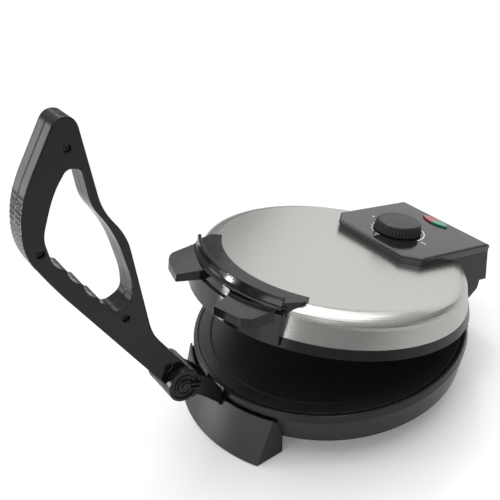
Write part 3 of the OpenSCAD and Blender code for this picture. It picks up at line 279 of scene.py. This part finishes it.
steel = Finish("brushed_steel_cover", Metallic=1.0)
lines = steel.noise(1, detail=3, stretch=BRUSHED)
broad = steel.noise(1, detail=3, stretch=BROAD_STREAKS)
cloud = steel.noise(14, detail=3)
tone = steel.between(lines * 0.5 + broad * 0.3 + cloud * 0.2, 0.35, 0.65)
steel.set("Base Color", steel.mix(tone, DARK_STEEL, LIGHT_STEEL))
steel.set("Roughness", steel.between(broad * 0.5 + lines * 0.5, 0.3, 0.7, 0.262, 0.278))
steel.set("Normal", steel.bump(lines, SCRATCH_DEPTH, steel.soft_edges(COVER_EDGE)))
dress(steel, "lid_cover")

# %% [markdown]
# ## The plates
# Both plates are cast aluminium under a black non-stick coating. It is sprayed and baked, so it has
# a satin gloss that drifts, a faint orange-peel relief and tiny mineral specks. The specks could be
# noise too, but noise gives worms, and the cells of a Voronoi pattern give round dots. A second
# noise then switches most of them off, because real specks are sparse.

# %% Non-stick coating
SPECKS_PER_METRE = 900.0
COATING_BLACK, SPECK_GREY = colour(0.014, 0.0142, 0.0148), colour(0.075, 0.074, 0.072)
PEEL_DEPTH, PLATE_EDGE = 0.00003, 0.0005

coating = Finish("non_stick_coating")
to_speck = coating.node("ShaderNodeTexVoronoi", {"feature": "F1"},
                        {"Vector": coating.place, "Scale": SPECKS_PER_METRE})
scattered = coating.between(coating.noise(500, detail=1), 0.52, 0.6)
specks = (1 - coating.between(to_speck, 0.10, 0.22)) * scattered
coating.set("Base Color", coating.mix(specks, COATING_BLACK, SPECK_GREY))
coating.set("Roughness", coating.between(coating.noise(26, detail=4), 0.3, 0.7, 0.34, 0.46))
coating.set("Normal", coating.bump(coating.noise(420), PEEL_DEPTH, coating.soft_edges(PLATE_EDGE)))
dress(coating, "lower_plate", "upper_plate")

# %% [markdown]
# ## Metal fittings
# Screws and pins are zinc-plated or blackened steel, the element is a heat-tinted tube, and the
# reflectors are bright pressed sheet. Each could have a graph of its own, but plating is uneven in
# the same way on all of them, so one helper makes a blotchy tone and gloss between two colours.

# %% Metals
FITTING_EDGE = 0.0002
FITTING_GRAIN, ENAMEL_GRAIN = 0.000006, 0.00003


def plated(name, first, second, rough, scale=120, metallic=1.0, grain=FITTING_GRAIN):
    """A metal or enamel whose tone wanders between two colours, with scale in blotches per metre."""
    finish = Finish(name, Metallic=metallic)
    blotch = finish.between(finish.noise(scale, detail=4), 0.35, 0.65)
    finish.set("Base Color", finish.mix(blotch, colour(*first), colour(*second)))
    worn = finish.noise(scale * 3, detail=3)
    finish.set("Roughness", finish.between(worn, 0.3, 0.7, rough - 0.05, rough + 0.08))
    finish.set("Normal", finish.bump(finish.noise(2400), grain, finish.soft_edges(FITTING_EDGE)))
    return finish


zinc = plated("zinc_plated_steel", (0.50, 0.50, 0.51), (0.62, 0.62, 0.61), 0.32)
blackened = plated("blackened_steel", (0.030, 0.031, 0.033), (0.060, 0.060, 0.062), 0.36, metallic=0.6)
heat_tint = plated("heat_tinted_steel", (0.30, 0.24, 0.20), (0.42, 0.40, 0.39), 0.42)
bright_sheet = plated("bright_aluminium_sheet", (0.74, 0.74, 0.73), (0.80, 0.80, 0.79), 0.24, scale=30)
pan_paint = plated("enamelled_pan", (0.030, 0.030, 0.032), (0.045, 0.045, 0.047), 0.40, metallic=0.0,
                   grain=ENAMEL_GRAIN)
brass = plated("brass_bush", (0.62, 0.46, 0.20), (0.74, 0.58, 0.30), 0.30)
dress(zinc, "base_screws", "lower_plate_pillars", "hinge_pins", "bracket_screws", "upper_plate_studs",
      "handle_screws", "housing_screws", "thermostat_spindle")
dress(blackened, "lever_pivot_pin", "pin_clip", "lever_screws")
dress(heat_tint, "lower_heating_element", "upper_heating_element")
dress(bright_sheet, "lower_reflector", "upper_reflector")
dress(pan_paint, "base_bottom_cover")
dress(brass, "lever_bush")

# %% [markdown]
# ## Rubber, ceramic and felt
# The feet and the cord's sleeve are matt rubber, the blocks inside are cream ceramic, and the mat
# over the upper reflector is loose white felt. None of them shows from the camera, and one grey
# could stand for all three, but the maker can also be seen from below, so each has its own grain.

# %% Rubber, ceramic, felt
rubber = Finish("black_rubber")
rubber.set("Base Color", rubber.mix(rubber.noise(160, detail=4), colour(0.010, 0.010, 0.011),
                                    colour(0.024, 0.024, 0.025)))
rubber.set("Roughness", rubber.between(rubber.noise(70, detail=3), 0.3, 0.7, 0.62, 0.78))
rubber.set("Normal", rubber.bump(rubber.noise(1500, detail=3), 0.00005, rubber.soft_edges(0.0005)))
dress(rubber, "rubber_feet", "cord_bushing")

ceramic = Finish("cream_ceramic")
ceramic.set("Base Color", ceramic.mix(ceramic.noise(180, detail=4), colour(0.72, 0.68, 0.58),
                                      colour(0.80, 0.77, 0.69)))
ceramic.set("Roughness", ceramic.between(ceramic.noise(60, detail=3), 0.3, 0.7, 0.30, 0.42))
ceramic.set("Normal", ceramic.bump(ceramic.noise(900), 0.00002, ceramic.soft_edges(0.0003)))
dress(ceramic, "thermal_fuse", "base_terminal_block", "thermostat", "terminal_strip")

felt = Finish("mineral_felt", Sheen_Weight=0.3)
felt.set("Base Color", felt.mix(felt.noise(220, detail=6), colour(0.62, 0.60, 0.55),
                                colour(0.80, 0.79, 0.75)))
felt.set("Roughness", felt.between(felt.noise(120, detail=3), 0.3, 0.7, 0.85, 0.97))
felt.set("Normal", felt.bump(felt.noise(1400, detail=5, stretch=(1, 1, 3)), 0.0004))
dress(felt, "insulation_pad")

# %% [markdown]
# ## Lamp lenses
# The pilot lights are a red and a green half of one pointed oval, each of tinted plastic over a
# small lamp. They could be see-through, but a thick dark tint hides what is behind it. So they are
# solid colours under a glossy coat, and fine ribs moulded inside them break up the colour.

# %% Lenses
RIBS_PER_METRE = 260.0
RIB_DEPTH, LENS_EDGE = 0.00002, 0.0006


def tinted(name, deep, clear):
    """A lens between two shades of its tint."""
    finish = Finish(name, Coat_Weight=0.6, Coat_Roughness=0.05)
    ribs = finish.node("ShaderNodeTexWave", {"bands_direction": "X"},
                       {"Vector": finish.place, "Scale": RIBS_PER_METRE})
    cloud = finish.between(finish.noise(300), 0.3, 0.7)
    finish.set("Base Color", finish.mix(ribs * 0.5 + cloud * 0.5, colour(*deep), colour(*clear)))
    finish.set("Roughness", finish.between(finish.noise(200), 0.3, 0.7, 0.12, 0.2))
    finish.set("Normal", finish.bump(ribs, RIB_DEPTH, finish.soft_edges(LENS_EDGE)))
    return finish


dress(tinted("red_lens", (0.24, 0.010, 0.018), (0.46, 0.035, 0.050)), "red_lens")
dress(tinted("green_lens", (0.006, 0.14, 0.075), (0.02, 0.30, 0.17)), "green_lens")

lamp_glass = Finish("lamp_glass", Transmission_Weight=0.6, IOR=1.45)
lamp_glass.set("Base Color", lamp_glass.mix(lamp_glass.noise(300), colour(0.85, 0.70, 0.50),
                                            colour(0.95, 0.86, 0.72)))
lamp_glass.set("Roughness", lamp_glass.between(lamp_glass.noise(150), 0.3, 0.7, 0.05, 0.15))
lamp_glass.set("Normal", lamp_glass.bump(lamp_glass.noise(500, detail=1), 0.00001))
dress(lamp_glass, "indicator_lamps")

# %% [markdown]
# ## Marks around the dial
# White marks printed on the panel show how far the dial is turned. A printed mark could be part of
# the panel's material, but then its edge is only as sharp as the bake, so each is a thin film of its
# own that rides on the lid. The dial's joint lies on the panel's top with its axis square to it, so
# it gives the place and the slope of the films.

# %% Films of ink
FILM_HALF = 0.00012  # half of a film's thickness, so that it lies in the panel as well as on it
dial_centre, panel_up = (Vector(JOINTS["knob_turn"][key]) for key in ("pos_m", "axis"))
panel_right = Vector((1, 0, 0))
panel_rear = panel_up.cross(panel_right)

ink = Finish("white_ink")
ink.set("Base Color", ink.mix(ink.noise(700, detail=3), colour(0.72), colour(0.86)))
ink.set("Roughness", ink.between(ink.noise(200), 0.3, 0.7, 0.4, 0.5))
ink.set("Normal", ink.bump(ink.noise(1800), 0.00001))


def print_mark(name, outline):
    """A film of ink inside an outline. Its points are to the right and to the rear of the dial."""
    count = len(outline)
    flat = [dial_centre + panel_right * x + panel_rear * y for x, y in outline]
    low = [point - panel_up * FILM_HALF for point in flat]
    high = [point + panel_up * FILM_HALF for point in flat]
    underside, top = tuple(reversed(range(count))), tuple(range(count, 2 * count))
    sides = [(i, (i + 1) % count, count + (i + 1) % count, count + i) for i in range(count)]
    mesh = bpy.data.meshes.new(name)
    mesh.from_pydata(low + high, [], [underside, top, *sides])
    mesh.materials.append(ink.material)
    mark = bpy.data.objects.new(name, mesh)
    bpy.context.scene.collection.objects.link(mark)
    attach(mark, "lid")
    print(name, "printed from", count, "points")


def beside_dial(radius, degrees):
    """A point that far from the dial's centre, 0 degrees to the right and 90 to the rear."""
    return Vector((radius * math.cos(math.radians(degrees)), radius * math.sin(math.radians(degrees))))


# %% [markdown]
# Bands, two straight ticks and a dot are all that the panel has. Their corners could be listed one
# by one, but two angles and a radius say the same, and they can be read as what is printed.

# %% Dial marks
def arc(name, first, last, radius, width, steps):
    """A band round the dial between two angles."""
    angles = [first + (last - first) * i / steps for i in range(steps + 1)]
    outer = [beside_dial(radius + width / 2, angle) for angle in angles]
    inner = [beside_dial(radius - width / 2, angle) for angle in reversed(angles)]
    print_mark(name, outer + inner)


def tick(name, angle, start, end, width):
    """A straight line that points at the dial's centre."""
    along = beside_dial(1, angle)
    half = Vector((-along.y, along.x)) * width / 2
    print_mark(name, [along * start - half, along * end - half, along * end + half, along * start + half])


def dot(name, place, radius, sides=16):
    """A round spot."""
    print_mark(name, [Vector(place) + beside_dial(radius, 360 * i / sides) for i in range(sides)])


DASHES = [(176, 190), (194, 206), (210, 222), (228, 238), (243, 252), (258, 272)]
arc("dial_arc_right", 3, 68, radius=0.0292, width=0.0013, steps=24)
tick("dial_tick_right", 5, start=0.0330, end=0.0400, width=0.0013)
for index, (first, last) in enumerate(DASHES):
    arc("dial_dash_%d" % index, first, last, radius=0.0278, width=0.0007, steps=8)
tick("dial_tick_front", 269, start=0.0300, end=0.0330, width=0.0011)
dot("dial_dot", (-0.041, 0.0025), radius=0.0013)

# %% [markdown]
# ## The table
# The maker stands on a white sweep with no horizon, and a soft shadow lies under it. A floor that is
# truly white would throw so much light up that the black plastic turned grey. So the floor is a mid
# grey for the light that it throws back, nearly white for the camera, and part of the way for
# reflections. Far from the base the camera sees a plain white glow. Towards the base that glow fades
# to a small share, which paints shade round the base on top of the real shadow.

# %% Floor
FLOOR_HALF = 6.0
FLOOR_FOR_LIGHT, FLOOR_FOR_CAMERA = colour(0.45), colour(0.97)
SHARE_FOR_GLOSS = 0.4
# Between these distances from the base the floor's glow fades, which paints shade round the base.
PAINTED_SHADE_FROM, PAINTED_SHADE_TO = 0.15, 0.40
GLOW_IN_PAINTED_SHADE, GLOW_AWAY_FROM_BASE = 0.12, 1.0

floor_mesh = bpy.data.meshes.new("floor")
corners = [(x * FLOOR_HALF, y * FLOOR_HALF, 0) for x, y in ((-1, -1), (1, -1), (1, 1), (-1, 1))]
floor_mesh.from_pydata(corners, [], [(0, 1, 2, 3)])
floor = bpy.data.objects.new("floor", floor_mesh)
bpy.context.scene.collection.objects.link(floor)

table = Finish("white_table", Roughness=0.3)
by_camera = table.node("ShaderNodeLightPath", out="Is Camera Ray")
by_gloss = table.node("ShaderNodeLightPath", out="Is Glossy Ray")
seen_share = by_camera + by_gloss * SHARE_FOR_GLOSS
table.set("Base Color", table.mix(seen_share, FLOOR_FOR_LIGHT, FLOOR_FOR_CAMERA))
from_base = table.node("ShaderNodeVectorMath", {"operation": "SUBTRACT"},
                       {0: table.place, 1: (0, BASE_Y, 0)})
away = table.node("ShaderNodeVectorMath", {"operation": "LENGTH"}, {0: from_base}, out="Value")
# The glow's share fades towards the base, which paints shade round it on top of the real shadow.
glow_share = by_camera * table.between(away, PAINTED_SHADE_FROM, PAINTED_SHADE_TO, GLOW_IN_PAINTED_SHADE, GLOW_AWAY_FROM_BASE)
glow = table.node("ShaderNodeEmission", {}, {"Strength": 1.0})
shaded = Wire(table, table.shader.outputs[0])
surface = table.node("ShaderNodeMixShader", {}, {0: glow_share, 1: shaded, 2: glow})
table.feed(table.tree.nodes["Material Output"].inputs["Surface"], surface)
floor_mesh.materials.append(table.material)
print("floor", 2 * FLOOR_HALF, "m wide")

# %% [markdown]
# ## The room
# The room is a dome of soft white light, dimmer towards the horizon, where a studio has its darker
# walls. An even dome would be simpler, but then the steel has no shading at all. The camera, and
# what is seen through glass, gets plain white instead.

# %% World
HORIZON_Z, ZENITH_Z = -0.05, 0.75
HORIZON_LIGHT, ZENITH_LIGHT, PLAIN_WHITE = 0.16, 0.60, 1.0

world = bpy.data.worlds.new("studio")
bpy.context.scene.world = world
world.use_nodes = True
room = Graph(world.node_tree)
toward = room.node("ShaderNodeTexCoord", out="Generated")
height = room.node("ShaderNodeSeparateXYZ", {}, {0: toward}, out="Z")
dome = room.between(height, HORIZON_Z, ZENITH_Z, HORIZON_LIGHT, ZENITH_LIGHT)
direct = room.node("ShaderNodeLightPath", out="Is Camera Ray")
through_glass = room.node("ShaderNodeLightPath", out="Is Transmission Ray")
sky = world.node_tree.nodes["Background"]
room.feed(sky.inputs["Color"], colour(1))
room.feed(sky.inputs["Strength"], room.between(direct + through_glass, 0, 1, dome, PLAIN_WHITE))
print("room from", HORIZON_LIGHT, "at the horizon to", ZENITH_LIGHT, "overhead")

# %% [markdown]
# ## The lamps
# Black gloss shows its shape only through what it mirrors, so the lamps are placed by the highlights
# that they draw. The overhead and back lamps lie in the steel and the panel, the key lamp makes the
# soft shadow, and the low ones at the front put a pale band on the lever's palm side, a streak down
# the foot and a glint on the lid handle's ridge. One big lamp would light the maker as well, but it
# would leave those faces flat.

# %% Lamps
middle = Vector((0, BASE_Y, 0.1))


def softbox(name, bearing, distance, rise, width, height, watts):
    """A soft lamp that faces the maker. Its bearing is in degrees, 0 to the right and 90 to the rear."""
    lamp = bpy.data.lights.new(name, "AREA")
    lamp.shape, lamp.size, lamp.size_y, lamp.energy = "RECTANGLE", width, height, watts
    holder = bpy.data.objects.new(name, lamp)
    bpy.context.scene.collection.objects.link(holder)
    around = math.radians(bearing)
    offset = Vector((distance * math.cos(around), distance * math.sin(around), rise))
    holder.location = middle + offset
    holder.rotation_mode = "QUATERNION"
    holder.rotation_quaternion = (-offset).to_track_quat("-Z", "Y")


# name, bearing, distance, rise, width, height, watts
LAMPS = [
    ("overhead", 140, 0.30, 1.7, 2.2, 2.2, 24),
    ("back_wall", 110, 1.75, 0.50, 2.2, 1.1, 5.0),
    ("left_wall", 160, 1.5, 1.10, 0.8, 0.5, 1.3),
    ("key", 140, 0.9, 1.5, 0.3, 0.3, 4),
    ("front_left", -140, 1.6, 0.36, 0.45, 0.5, 1.2),
    ("foot_strip", -122, 1.4, 0.06, 0.12, 0.3, 8),
    ("front_window", -80, 1.5, 0.35, 0.5, 0.8, 3.4),
    ("behind_camera", -36, 1.7, 1.2, 0.5, 0.5, 1.2),
]
for lamp_values in LAMPS:
    softbox(*lamp_values)
print(len(LAMPS), "lamps placed,", round(sum(values[-1] for values in LAMPS), 1), "W together")

# %% [markdown]
# ## Colours as written
# The Standard view transform shows a colour as it is written, which makes it easy to set against a
# photograph. A filmic one would soften the highlights, but it also greys every colour.

# %% View
bpy.context.scene.view_settings.view_transform = "Standard"
